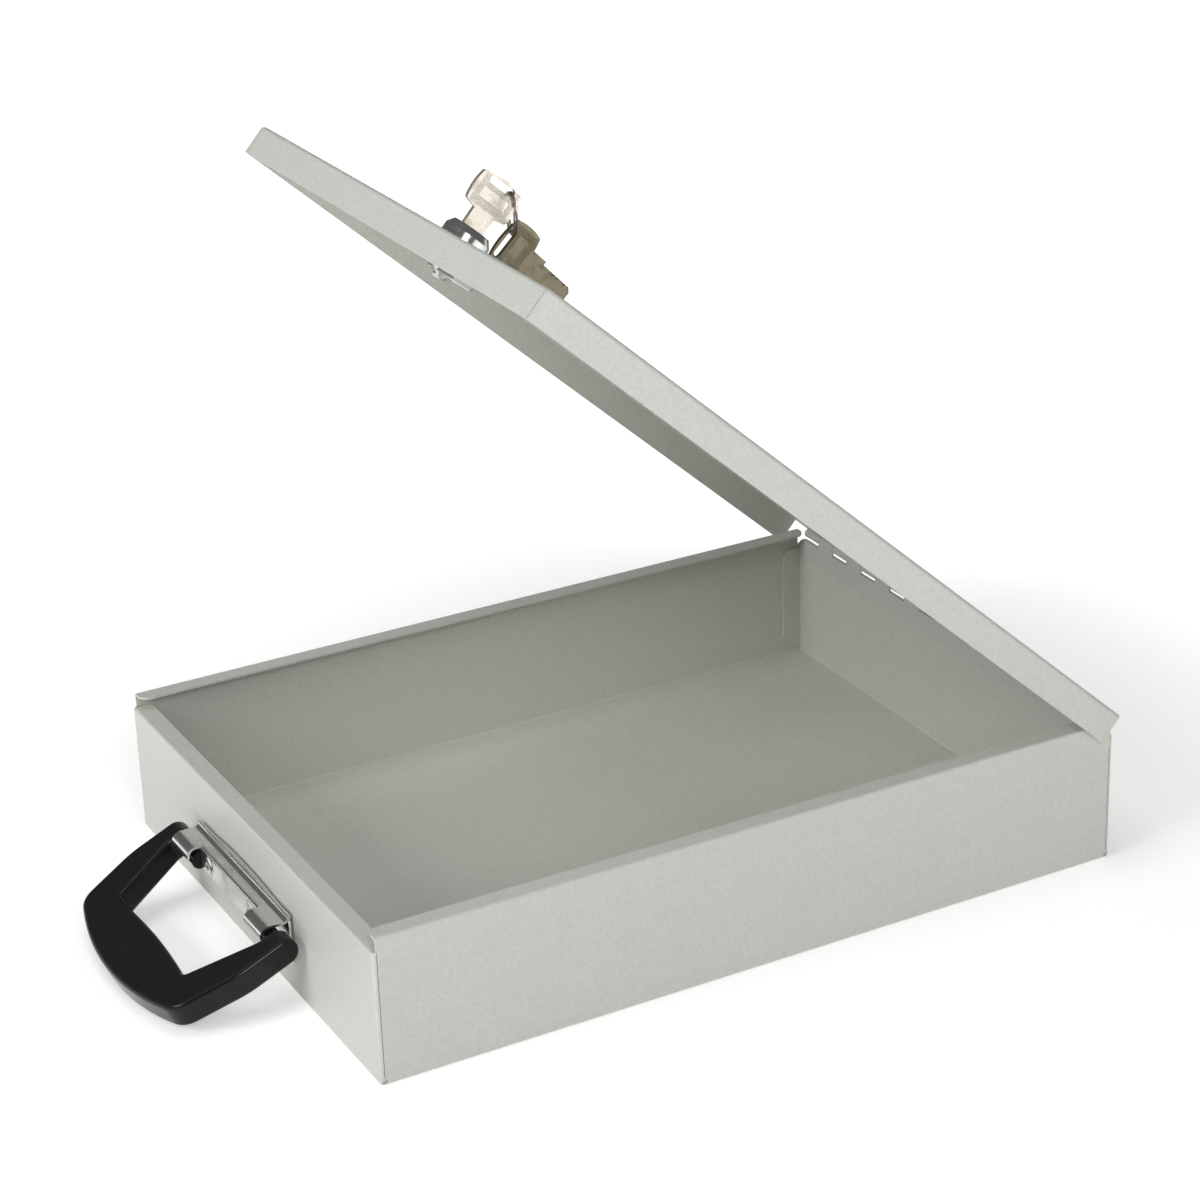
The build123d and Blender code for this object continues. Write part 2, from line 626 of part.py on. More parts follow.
def make_key(face_plane):
    """A flat key whose face lies in face_plane: bow and neck thick, blade thinner with bits."""
    with BuildPart() as key_part:
        with BuildSketch(face_plane.offset(-key_thickness / 2)):
            with BuildLine():
                half_bow = bow_width / 2
                bow_high = neck_length + bow_side
                bow_middle = neck_length + bow_side / 2
                low_edge = ThreePointArc((-half_bow, neck_length), (0, neck_length - bow_bulge),
                                         (half_bow, neck_length))
                right_edge = ThreePointArc(low_edge @ 1, (half_bow + bow_side_bulge, bow_middle),
                                           (half_bow, bow_high))
                top_edge = ThreePointArc(right_edge @ 1, (0, bow_high + bow_bulge), (-half_bow, bow_high))
                ThreePointArc(top_edge @ 1, (-half_bow - bow_side_bulge, bow_middle), low_edge @ 0)
            make_face()
            fillet(vertices(), radius=key_corner_radius)
            with Locations((0, neck_length / 2)):
                Rectangle(neck_width, neck_length)
            with Locations((0, bow_high + bow_bulge - bow_slot_inset)):
                SlotOverall(bow_slot_length, bow_slot_width, mode=Mode.SUBTRACT)
        extrude(amount=key_thickness)
        with BuildSketch(face_plane.offset(-blade_thickness / 2)):
            with BuildLine():
                half = blade_width / 2
                Polyline((-half, 0.5), (half, 0.5), (half, -blade_length + blade_tip),
                         (half - blade_tip, -blade_length), (blade_tip - half, -blade_length),
                         (-half, -blade_length + blade_tip), close=True)
            make_face()
            for n in range(wafer_count):
                cut_height = -4.6 - n * wafer_pitch + wafer_thickness / 2
                depth = bit_depth * (0.5 + 0.5 * ((n * 2) % 3) / 2)
                with Locations((half, cut_height), (-half, cut_height)):
                    Rectangle(2 * depth, wafer_thickness, mode=Mode.SUBTRACT)
        extrude(amount=blade_thickness)
        for face_side in (-1, 1):
            with BuildSketch(face_plane.offset(face_side * key_thickness / 2)):
                with Locations((0, neck_length + bow_side - panel_centre + panel_width / 2)):
                    Rectangle(panel_length, panel_width)
            extrude(amount=-face_side * panel_depth, mode=Mode.SUBTRACT)
            with BuildSketch(face_plane.offset(face_side * key_thickness / 2)):
                with Locations((neck_width * 0.2, neck_length * 0.28), (-neck_width * 0.2, neck_length * 0.42)):
                    Rectangle(step_width, neck_length * 0.55)
            extrude(amount=-face_side * step_depth, mode=Mode.SUBTRACT)
    return key_part.part


# Key in the lock: its flat lies across the lid's length, its neck just off the plug's face
key_base = lock_centre + lid_up * (lock_top + key_stand_off)
key_face = Plane(origin=key_base, x_dir=lid_forward, z_dir=Vector(-1, 0, 0))
key_part = make_key(key_face)
key_part.label = "key"
export_step(key_part, "parts/key.step")

# Split ring hanging from the rear end of the key's slot
slot_height = neck_length + bow_side - bow_slot_inset + bow_bulge
slot_end = bow_slot_length / 2 - bow_slot_width / 2
slot_round = key_base - lid_forward * slot_end + lid_up * slot_height
ring_hang = slot_round - Vector(0, 0, bow_slot_width / 2 - ring_wire - ring_gap)
yaw = math.radians(ring_yaw)
ring_side = Vector(math.cos(yaw), -math.sin(yaw), 0)
ring_normal = Vector(math.sin(yaw), math.cos(yaw), 0)
ring_centre = ring_hang - Vector(0, 0, ring_radius)
ring_section = Plane(origin=ring_centre, x_dir=ring_side, z_dir=(0, 0, 1))
with BuildPart() as key_ring:
    with BuildSketch(ring_section):
        turn = ring_wire / 2 + ring_turns_gap / 4
        with Locations((ring_radius, turn), (ring_radius, -turn)):
            RectangleRounded(2 * ring_wire * 0.75, ring_wire, ring_wire * 0.3)
        with Locations((ring_radius, 0)):
            Rectangle(ring_wire, ring_wire)
    revolve(axis=Axis(ring_centre, ring_normal))
key_ring.part.label = "key_ring"
export_step(key_ring.part, "parts/key_ring.step")

# Spare key hanging from the ring and leaning until it nearly touches the lid
lean = math.radians(spare_lean)
spare_down = Vector(0, math.sin(lean), -math.cos(lean))
spare_side = Vector(0, math.cos(lean), math.sin(lean))
ring_low = ring_hang - Vector(0, 0, 2 * ring_radius)
spare_hole = ring_low + Vector(0, 0, bow_slot_width / 2 - ring_wire - spare_drop)
spare_base = spare_hole - spare_side * slot_end + spare_down * slot_height
spare_face = Plane(origin=spare_base, x_dir=spare_side, z_dir=spare_side.cross(spare_down * -1))
spare_part = make_key(spare_face)
spare_part.label = "spare_key"
export_step(spare_part, "parts/spare_key.step")
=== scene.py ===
import bpy
import bmesh
import math
from mathutils import Matrix, Vector


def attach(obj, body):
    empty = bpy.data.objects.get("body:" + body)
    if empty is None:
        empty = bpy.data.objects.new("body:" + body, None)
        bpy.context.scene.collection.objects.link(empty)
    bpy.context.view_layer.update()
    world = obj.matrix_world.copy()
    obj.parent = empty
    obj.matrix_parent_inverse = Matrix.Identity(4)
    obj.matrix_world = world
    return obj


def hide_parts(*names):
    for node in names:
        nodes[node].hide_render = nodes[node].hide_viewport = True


# Lockable document box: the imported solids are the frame, in metres, +Z up,
# with the handle wall towards -Y and the hinge wall towards +Y.
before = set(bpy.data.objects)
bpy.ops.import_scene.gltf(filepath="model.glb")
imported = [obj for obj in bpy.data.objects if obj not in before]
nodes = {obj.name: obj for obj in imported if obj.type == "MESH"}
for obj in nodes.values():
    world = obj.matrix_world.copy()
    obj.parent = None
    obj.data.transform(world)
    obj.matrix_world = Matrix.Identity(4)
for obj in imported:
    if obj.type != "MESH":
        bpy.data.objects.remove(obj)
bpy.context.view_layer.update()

# Shader wiring: an effect that several materials share is one shader node group,
# and its named outputs feed the material's shader.
def new_group(name, inputs, outputs):
    """An empty shader group with (name, default) inputs and (name, kind) outputs."""
    group = bpy.data.node_groups.new(name, "ShaderNodeTree")
    for label, value in inputs:
        kind = "NodeSocketColor" if isinstance(value, tuple) else "NodeSocketFloat"
        socket = group.interface.new_socket(label, in_out="INPUT", socket_type=kind)
        socket.default_value = value
    for label, kind in outputs:
        group.interface.new_socket(label, in_out="OUTPUT", socket_type=kind)
    start = group.nodes.new("NodeGroupInput")
    end = group.nodes.new("NodeGroupOutput")
    return group, start.outputs, end.inputs


class Wiring:
    """Short calls that add nodes to one tree and join them."""

    def __init__(self, tree):
        self.tree = tree
        self.place = tree.nodes.new("ShaderNodeTexCoord").outputs["Object"]

    def join(self, source, socket):
        if hasattr(source, "is_output"):
            self.tree.links.new(source, socket)
        else:
            socket.default_value = source

    def noise(self, scale, detail=3.0, rough=0.5, vector=None, distort=0.0):
        node = self.tree.nodes.new("ShaderNodeTexNoise")
        self.join(vector or self.place, node.inputs["Vector"])
        self.join(scale, node.inputs["Scale"])
        node.inputs["Detail"].default_value = detail
        node.inputs["Roughness"].default_value = rough
        node.inputs["Distortion"].default_value = distort
        return node.outputs["Fac"]

    def cells(self, scale, vector=None, feature="F1"):
        node = self.tree.nodes.new("ShaderNodeTexVoronoi")
        node.feature = feature
        self.join(vector or self.place, node.inputs["Vector"])
        self.join(scale, node.inputs["Scale"])
        return node.outputs["Distance"]

    def math(self, kind, a, b=0.0, c=None, clamp=False):
        node = self.tree.nodes.new("ShaderNodeMath")
        node.operation = kind
        node.use_clamp = clamp
        self.join(a, node.inputs[0])
        self.join(b, node.inputs[1])
        if c is not None:
            self.join(c, node.inputs[2])
        return node.outputs[0]

    def ramp(self, value, low, high, to_low=0.0, to_high=1.0):
        node = self.tree.nodes.new("ShaderNodeMapRange")
        node.interpolation_type = "SMOOTHSTEP"
        for socket, number in zip(node.inputs, (value, low, high, to_low, to_high)):
            self.join(number, socket)
        return node.outputs[0]

    def mix(self, factor, a, b, blend="MIX"):
        node = self.tree.nodes.new("ShaderNodeMix")
        node.data_type = "RGBA"
        node.blend_type = blend
        self.join(factor, node.inputs["Factor"])
        self.join(a, node.inputs[6])
        self.join(b, node.inputs[7])
        return node.outputs[2]

    def mapped(self, matrix, scale=(1, 1, 1)):
        """Object coordinates seen in a local frame, stretched by scale."""
        node = self.tree.nodes.new("ShaderNodeMapping")
        node.vector_type = "TEXTURE"
        node.inputs["Location"].default_value = matrix.to_translation()
        node.inputs["Rotation"].default_value = matrix.to_euler()
        node.inputs["Scale"].default_value = [1 / s for s in scale]
        self.join(self.place, node.inputs["Vector"])
        return node.outputs["Vector"]

    def parts(self, vector):
        node = self.tree.nodes.new("ShaderNodeSeparateXYZ")
        self.join(vector, node.inputs[0])
        return node.outputs

    def facing(self):
        return self.parts(self.tree.nodes.new("ShaderNodeNewGeometry").outputs["Normal"])


def colour(value):
    return (value[0], value[1], value[2], 1.0)

def finish(name, group, values, metallic=0.0, bump=0.2, depth=0.00005, coat=0.0, coat_roughness=0.1):
    """A material whose shader is fed by one group; returns the material."""
    material = bpy.data.materials.new(name)
    material.use_nodes = True
    tree = material.node_tree
    shader = tree.nodes["Principled BSDF"]
    shader.inputs["Metallic"].default_value = metallic
    shader.inputs["Coat Weight"].default_value = coat
    shader.inputs["Coat Roughness"].default_value = coat_roughness
    node = tree.nodes.new("ShaderNodeGroup")
    node.node_tree = group
    for label, value in values.items():
        node.inputs[label].default_value = value
    tree.links.new(node.outputs["Base Color"], shader.inputs["Base Color"])
    tree.links.new(node.outputs["Roughness"], shader.inputs["Roughness"])
    relief = tree.nodes.new("ShaderNodeBump")
    relief.inputs["Strength"].default_value = bump
    relief.inputs["Distance"].default_value = depth
    tree.links.new(node.outputs["Height"], relief.inputs["Height"])
    tree.links.new(relief.outputs["Normal"], shader.inputs["Normal"])
    return material


def dress(node_name, material):
    """Gives a CAD node its material in place of the one it came with."""
    mesh = nodes[node_name].data
    mesh.materials.clear()
    mesh.materials.append(material)

# New pieces are built from rows of points: quads between the rows, then a thickness
# for sheet metal and a bevel for its edges.
def add_piece(name, shape, material, body, smooth_angle=40.0):
    mesh = bpy.data.meshes.new(name)
    bmesh.ops.recalc_face_normals(shape, faces=shape.faces)
    shape.to_mesh(mesh)
    shape.free()
    piece = bpy.data.objects.new(name, mesh)
    bpy.context.scene.collection.objects.link(piece)
    mesh.materials.append(material)
    for face in mesh.polygons:
        face.use_smooth = True
    mesh.set_sharp_from_angle(angle=math.radians(smooth_angle))
    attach(piece, body)
    return piece


def grid_faces(shape, rows, closed=False):
    """Quads between rows of points, every row as long as the next."""
    made = [[shape.verts.new(point) for point in row] for row in rows]
    for low, high in zip(made, made[1:]):
        count = len(low)
        for n in range(count if closed else count - 1):
            m = (n + 1) % count
            shape.faces.new((low[n], low[m], high[m], high[n]))
    return made


def thicken(shape, thickness):
    bmesh.ops.remove_doubles(shape, verts=shape.verts, dist=1e-6)
    bmesh.ops.recalc_face_normals(shape, faces=shape.faces)
    bmesh.ops.solidify(shape, geom=shape.faces[:], thickness=thickness)


def soften(shape, width, above_degrees, segments=2):
    sharp = [e for e in shape.edges
             if len(e.link_faces) == 2 and e.calc_face_angle() > math.radians(above_degrees)]
    bmesh.ops.bevel(shape, geom=sharp, offset=width, affect="EDGES", segments=segments, profile=0.5,
                    material=-1)


# Tray and lid: the CAD sheets under one powder coat, a little coarser on the lid,
# with a painted highlight along the free edge of each folded tab at the hinge end: a small, thin tube in
# paler paint.
powder, given, result = new_group(
    "powder_coat",
    [("Colour", (0.6, 0.6, 0.6, 1.0)), ("Grain", 900.0), ("Roughness", 0.4), ("Rub", 0.3)],
    [("Base Color", "NodeSocketColor"), ("Roughness", "NodeSocketFloat"), ("Height", "NodeSocketFloat")])
wire = Wiring(powder)
peel = wire.noise(given["Grain"], 2.0, 0.55)
fine = wire.noise(wire.math("MULTIPLY", given["Grain"], 3.1), 1.0, 0.5)
drift = wire.noise(9.0, 3.0, 0.55)
specks = wire.ramp(wire.cells(wire.math("MULTIPLY", given["Grain"], 0.42)), 0.07, 0.13, 1.0, 0.0)
smears = wire.ramp(wire.noise(28.0, 5.0, 0.7, distort=1.2), 0.56, 0.74)
tone = wire.mix(wire.ramp(drift, 0.3, 0.7, 0.0, 0.16), given["Colour"],
                wire.mix(1.0, given["Colour"], colour((0.93, 0.95, 0.93)), "MULTIPLY"))
tone = wire.mix(wire.math("MULTIPLY", specks, 0.10), tone, colour((0.25, 0.26, 0.25)))
tone = wire.mix(wire.ramp(peel, 0.36, 0.64, 0.13, 0.0), tone,
                wire.mix(1.0, tone, colour((0.55, 0.56, 0.56)), "MULTIPLY"))
tone = wire.mix(wire.math("MULTIPLY", wire.math("MULTIPLY", smears, given["Rub"]), 0.16),
                tone, colour((0.5, 0.49, 0.46)))
wire.join(tone, result["Base Color"])
shine = wire.math("MULTIPLY_ADD", wire.math("SUBTRACT", peel, 0.5), 0.12, given["Roughness"])
shine = wire.math("MULTIPLY_ADD", wire.math("MULTIPLY", smears, given["Rub"]), 0.12, shine)
wire.join(shine, result["Roughness"])
wire.join(wire.math("MULTIPLY_ADD", fine, 0.35, peel), result["Height"])


def paint(name, tone, grain, roughness, rub, bump, depth):
    values = {"Colour": (*tone, 1.0), "Grain": grain, "Roughness": roughness, "Rub": rub}
    return finish(name, powder, values, bump=bump, depth=depth)


box_paint = paint("box_paint", (0.578, 0.596, 0.545), 620.0, 0.42, 0.25, 0.8, 0.00022)
lid_paint = paint("lid_paint", (0.584, 0.602, 0.55), 600.0, 0.44, 0.35, 0.8, 0.00022)
# A paler copy of the box paint: the painted highlight on the tabs' free edges.
tab_edge_highlight_paint = paint("tab_edge_highlight_paint", (0.66, 0.68, 0.63), 900.0, 0.4, 0.1, 0.3, 0.00006)
dress("tray_body", box_paint)
dress("lid_shell", lid_paint)

# A thin tube along each tab's free edge, on both sides, carries that painted highlight.
highlight_tube_radius = 0.00022
highlight_tube_sides = 8
highlight_tube_x = 0.12665
tab_root = 0.1764
tab_free = 0.1665
tab_foot = 0.003
tab_head = 0.057
tab_chamfer = 0.007
tab_round = 0.005
round_steps = 8
tab_edge = [(tab_root, tab_foot), (tab_free + tab_chamfer, tab_foot), (tab_free, tab_foot + tab_chamfer),
            (tab_free, tab_head - tab_round)]
for n in range(1, round_steps + 1):
    turn = math.pi / 2 * n / round_steps
    tab_edge.append((tab_free + tab_round - tab_round * math.cos(turn),
                     tab_head - tab_round + tab_round * math.sin(turn)))
tab_edge.append((tab_root, tab_head))
shape = bmesh.new()
for side in (-1, 1):
    rows = []
    for n, (y, z) in enumerate(tab_edge):
        before = Vector(tab_edge[max(n - 1, 0)])
        after = Vector(tab_edge[min(n + 1, len(tab_edge) - 1)])
        ahead = (after - before).normalized()
        outward = Vector((0, -ahead.y, ahead.x))
        centre = Vector((side * highlight_tube_x, y, z))
        rows.append([centre + highlight_tube_radius * (outward * math.cos(turn) + Vector((1, 0, 0)) * math.sin(turn))
                     for turn in (2 * math.pi * m / highlight_tube_sides for m in range(highlight_tube_sides))])
    made = grid_faces(shape, rows, closed=True)
    shape.faces.new(made[0])
    shape.faces.new(list(reversed(made[-1])))
add_piece("tab_edge_highlights", shape, tab_edge_highlight_paint, "tray")

# Hinge: painted leaves and a bare pin. Bare metal in every section is one group
# with draw lines along X, pits and stains.
worked, given, result = new_group(
    "worked_metal",
    [("Colour", (0.6, 0.6, 0.6, 1.0)), ("Stain", (0.3, 0.28, 0.25, 1.0)), ("Stain Amount", 0.3),
     ("Roughness", 0.3), ("Lines", 600.0), ("Pits", 0.3)],
    [("Base Color", "NodeSocketColor"), ("Roughness", "NodeSocketFloat"), ("Height", "NodeSocketFloat")])
wire = Wiring(worked)
along = wire.mapped(Matrix.Identity(4), (0.06, 1.0, 1.0))
lines = wire.noise(wire.math("MULTIPLY", given["Lines"], 4.0), 2.0, 0.6, along)
cloud = wire.noise(wire.math("MULTIPLY", given["Lines"], 0.25), 4.0, 0.6)
stain = wire.ramp(cloud, 0.46, 0.72)
pits = wire.ramp(wire.noise(wire.math("MULTIPLY", given["Lines"], 2.2), 2.0, 0.5), 0.62, 0.74)
tone = wire.mix(wire.math("MULTIPLY", stain, given["Stain Amount"]), given["Colour"], given["Stain"])
tone = wire.mix(wire.math("MULTIPLY", pits, wire.math("MULTIPLY", given["Pits"], 0.5)),
                tone, colour((0.12, 0.11, 0.10)))
wire.join(tone, result["Base Color"])
shine = wire.math("MULTIPLY_ADD", lines, 0.16, given["Roughness"])
wire.join(wire.math("MULTIPLY_ADD", stain, 0.14, shine), result["Roughness"])
height = wire.math("MULTIPLY_ADD", pits, -0.5, lines)
wire.join(height, result["Height"])


def metal(name, tone, stain, stain_amount, roughness, lines, pits, bump, depth):
    values = {"Colour": (*tone, 1.0), "Stain": (*stain, 1.0), "Stain Amount": stain_amount,
              "Roughness": roughness, "Lines": lines, "Pits": pits}
    return finish(name, worked, values, metallic=1.0, bump=bump, depth=depth)


hinge_paint = paint("hinge_paint", (0.563, 0.58, 0.535), 1500.0, 0.4, 0.8, 0.2, 0.00005)
pin_steel = metal("pin_steel", (0.4, 0.4, 0.39), (0.16, 0.13, 0.1), 0.4, 0.38, 700.0, 0.4, 0.15, 0.00003)
dress("hinge_tray_leaf", hinge_paint)
dress("hinge_lid_leaf", hinge_paint)
dress("hinge_pin", pin_steel)

# Handle bracket, pressed from bright steel: an arched plate, a ledge with a hollow root,
# a skirt with two round bosses and, at the ends, saddles over the handle's stubs.
bright_zinc = metal("bright_zinc", (0.74, 0.74, 0.72), (0.42, 0.42, 0.42), 0.35, 0.16, 240.0, 0.3,
                    0.12, 0.00005)
dress("bracket_rivets", bright_zinc)

plate_y = -0.1797
plate_thickness = 0.0014
plate_taper = 0.985
plate_droop = 0.0012
plate_edge = 0.0003
plate_half = 0.0489
plate_top = 0.0372
arch_rise = 0.0036
plate_foot = 0.0165
shape = bmesh.new()
outline = [Vector((-plate_half, plate_y, plate_foot)), Vector((plate_half, plate_y, plate_foot))]
steps = 24
for n in range(steps + 1):
    across = 1 - 2 * n / steps
    outline.append(Vector((plate_half * across * plate_taper, plate_y,
                           plate_top + arch_rise * (1 - across ** 2) - plate_droop * across ** 8)))
front = shape.faces.new([shape.verts.new(point) for point in outline])
back = bmesh.ops.extrude_face_region(shape, geom=[front])
bmesh.ops.translate(shape, vec=Vector((0, plate_thickness, 0)),
                    verts=[v for v in back["geom"] if isinstance(v, bmesh.types.BMVert)])
soften(shape, plate_edge, 50)
plate = add_piece("bracket_plate", shape, bright_zinc, "tray")

ledge_z = 0.0368
root = 0.0024
boss_radius = 0.0046
boss_height = 0.0011
boss_x = 0.0225
boss_z = 0.0308
dent_depth = 0.0009
dent_radius = 0.0017
ledge_front = -0.1854
skirt_round = 0.0009
skirt_step = 0.0005
saddle_start = 0.031
saddle_y = -0.1886
saddle_round = 0.0041
saddle_foot = 0.0318
sheet_thickness = 0.0011


def arc(centre_y, centre_z, radius, start, end, count):
    """Points (y, z) along an arc, angles in degrees from +Y towards +Z."""
    turns = [math.radians(start + (end - start) * n / count) for n in range(count + 1)]
    return [(centre_y + radius * math.cos(t), centre_z + radius * math.sin(t)) for t in turns]


def skirt_bulge(x, z):
    """How far the skirt's two round bosses stand out: domes with a dented middle."""
    reach = math.hypot(abs(x) - boss_x, z - boss_z)
    if reach > boss_radius:
        return 0.0
    dome = math.cos(math.pi / 2 * reach / boss_radius) ** 0.8
    return boss_height * dome - dent_depth * math.exp(-(reach / dent_radius) ** 2)


shape = bmesh.new()
ledge_profile = arc(plate_y - root, ledge_z + root, root, 0, -90, 6)
ledge_profile += [(-0.1836, ledge_z), (ledge_front, ledge_z)]
stations = [-0.0485 + skirt_step * n for n in range(195)]
grid_faces(shape, [[(x, y, z) for y, z in ledge_profile] for x in stations])
skirt_profile = arc(ledge_front, ledge_z - skirt_round, skirt_round, 90, 180, 4)
skirt_profile += [(-0.1863, 0.0355 - skirt_step * n) for n in range(20)]
middle = [x for x in stations if abs(x) <= saddle_start + 1e-5]
grid_faces(shape, [[(x, y - skirt_bulge(x, z), z) for y, z in skirt_profile] for x in middle])
saddle_profile = [(ledge_front, ledge_z), (-0.1874, ledge_z)]
saddle_profile += arc(saddle_y, ledge_z - saddle_round, saddle_round, 90, 180, 10)
saddle_profile.append((saddle_y - saddle_round, saddle_foot))
for side in (-1, 1):
    ends = [x for x in stations if side * x >= saddle_start - 1e-5]
    grid_faces(shape, [[(x, y, z) for y, z in saddle_profile] for x in ends])
thicken(shape, sheet_thickness)
add_piece("bracket_ledge", shape, bright_zinc, "tray", 50.0)
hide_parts("handle_bracket")

# Handle: black plastic with a spark-eroded grain on its broad faces, polished on the
# rounded edges, with a few pale scuffs.
handle_grain, given, result = new_group(
    "handle_grain",
    [("Colour", (0.01, 0.01, 0.011, 1.0)), ("Grain", 1700.0), ("Roughness", 0.42), ("Polish", 0.16)],
    [("Base Color", "NodeSocketColor"), ("Roughness", "NodeSocketFloat"), ("Height", "NodeSocketFloat")])
wire = Wiring(handle_grain)
handle_tilt = math.radians(24.0)
normal = wire.facing()
across_face = wire.math("ADD", wire.math("MULTIPLY", normal["Y"], -math.sin(handle_tilt)),
                        wire.math("MULTIPLY", normal["Z"], math.cos(handle_tilt)))
on_face = wire.ramp(wire.math("ABSOLUTE", across_face), 0.78, 0.93)
pebbles = wire.cells(given["Grain"], feature="SMOOTH_F1")
grain = wire.math("MULTIPLY", wire.math("ADD", pebbles, wire.noise(given["Grain"], 2.0, 0.6)), on_face)
scuffs = wire.ramp(wire.noise(60.0, 6.0, 0.75, distort=2.0), 0.6, 0.72)
tone = wire.mix(wire.math("MULTIPLY", scuffs, 0.25), given["Colour"], colour((0.05, 0.05, 0.052)))
tone = wire.mix(wire.math("MULTIPLY", wire.noise(14.0, 2.0), 0.3), tone, colour((0.018, 0.017, 0.016)))
wire.join(tone, result["Base Color"])
dull = wire.math("MULTIPLY_ADD", pebbles, 0.12, given["Roughness"])
shine = wire.math("MULTIPLY_ADD", wire.math("SUBTRACT", dull, given["Polish"]), on_face, given["Polish"])
wire.join(wire.math("MULTIPLY_ADD", scuffs, 0.12, shine), result["Roughness"])
wire.join(grain, result["Height"])
handle_plastic = finish("handle_plastic", handle_grain,
                        {"Colour": (0.007, 0.007, 0.0075, 1.0), "Grain": 1500.0}, bump=0.5, depth=0.00025)
handle_plastic.node_tree.nodes["Principled BSDF"].inputs["Specular IOR Level"].default_value = 0.22
dress("handle", handle_plastic)

# Cam lock: a polished housing, a satin plug with brass wafers, and dull zinc for the
# washer, the nut, the cam and its fastening.
chrome = metal("chrome", (0.78, 0.78, 0.78), (0.5, 0.5, 0.5), 0.15, 0.07, 500.0, 0.08, 0.03, 0.00002)
satin_chrome = metal("satin_chrome", (0.7, 0.7, 0.69), (0.4, 0.4, 0.4), 0.3, 0.2, 900.0, 0.25, 0.1, 0.00002)
dull_zinc = metal("dull_zinc", (0.55, 0.55, 0.54), (0.33, 0.32, 0.3), 0.5, 0.34, 500.0, 0.5, 0.15, 0.00004)
wafer_brass = metal("wafer_brass", (0.74, 0.55, 0.27), (0.4, 0.26, 0.12), 0.4, 0.3, 900.0, 0.3,
                    0.1, 0.00003)
dress("lock_housing", chrome)
dress("lock_plug", satin_chrome)
dress("lock_wafers", wafer_brass)
for node_name in ("lock_washer", "lock_nut", "lock_cam", "cam_washer", "cam_screw"):
    dress(node_name, dull_zinc)

# Keys: nickel over brass, the spare one darker. The knurling and the plain framed
# panel are drawn in the plane of each key's bow.
lid_tilt = math.radians(42.3)
hinge_pin = Vector((0, 0.1778, 0.067))
lid_forward = Vector((0, -math.cos(lid_tilt), math.sin(lid_tilt)))
lid_up = Vector((0, math.sin(lid_tilt), math.cos(lid_tilt)))
lock_centre = hinge_pin + lid_forward * 0.3293


def in_plane(origin, x_dir, z_dir):
    """Matrix that takes local coordinates to a plane in the object's frame."""
    z = z_dir.normalized()
    x = (x_dir - z * x_dir.dot(z)).normalized()
    y = z.cross(x)
    turn = Matrix((x, y, z)).transposed().to_4x4()
    return Matrix.Translation(origin) @ turn


bow_centre = 0.0155
bow_reach = 0.0102
panel_centre = 0.01465
knurl_pitch = 6500.0
key_lift = 0.0127


def key_finish(name, plane, tone, stain, roughness, depth):
    """Nickel with fine crossed knurling on the bow, left plain on the panel, the rim and the blade."""
    material = metal(name, tone, stain, 0.5, roughness, 700.0, 0.4, 0.6, depth)
    tree = material.node_tree
    local = Wiring(tree)
    spot = local.parts(local.mapped(plane))
    rise = local.math("SUBTRACT", spot["Y"], bow_centre)
    inside = local.math("MULTIPLY",
                        local.ramp(local.math("ABSOLUTE", spot["X"]), bow_reach - 0.0006,
                                   bow_reach - 0.0002, 1.0, 0.0),
                        local.ramp(local.math("ABSOLUTE", rise), 0.0064, 0.0069, 1.0, 0.0))
    off_panel = local.math("MAXIMUM",
                           local.ramp(local.math("ABSOLUTE", spot["X"]), 0.0068, 0.0070),
                           local.ramp(local.math("ABSOLUTE",
                                                 local.math("SUBTRACT", spot["Y"], panel_centre)),
                                      0.0024, 0.0026))
    first = local.math("SINE", local.math("MULTIPLY", local.math("ADD", spot["X"], spot["Y"]), knurl_pitch))
    second = local.math("SINE", local.math("MULTIPLY", local.math("SUBTRACT", spot["X"], spot["Y"]),
                                           knurl_pitch))
    knurl = local.math("MULTIPLY", local.math("MAXIMUM", first, second),
                       local.math("MULTIPLY", inside, off_panel))
    edge = local.math("MULTIPLY", off_panel, local.math("SUBTRACT", 1.0, off_panel))
    frame_line = local.math("MULTIPLY", edge, 4.0)
    knurl = local.math("MULTIPLY_ADD", frame_line, 2.0, knurl)
    bump = next(n for n in tree.nodes if n.bl_idname == "ShaderNodeBump")
    group = next(n for n in tree.nodes if n.bl_idname == "ShaderNodeGroup")
    total = local.math("MULTIPLY_ADD", group.outputs["Height"], 0.25, knurl)
    tree.links.new(total, bump.inputs["Height"])
    return material


key_base = lock_centre + lid_up * key_lift
dress("key", key_finish("key_nickel", in_plane(key_base, lid_forward, Vector((-1, 0, 0))),
                        (0.95, 0.9, 0.79), (0.8, 0.68, 0.5), 0.3, 0.00007))
lean = math.radians(43.5)
spare_down = Vector((0, math.sin(lean), -math.cos(lean)))
spare_side = Vector((0, math.cos(lean), math.sin(lean)))
spare_hole = Vector((0, -0.0393, 0.29282)) + Vector((0, 0, 0.0003))
spare_base = spare_hole - spare_side * 0.0052 + spare_down * 0.0209
spare_plane = in_plane(spare_base, spare_side, spare_side.cross(-spare_down))
dress("spare_key", key_finish("spare_nickel", spare_plane,
                              (0.3, 0.265, 0.185), (0.2, 0.165, 0.1), 0.34, 0.00012))

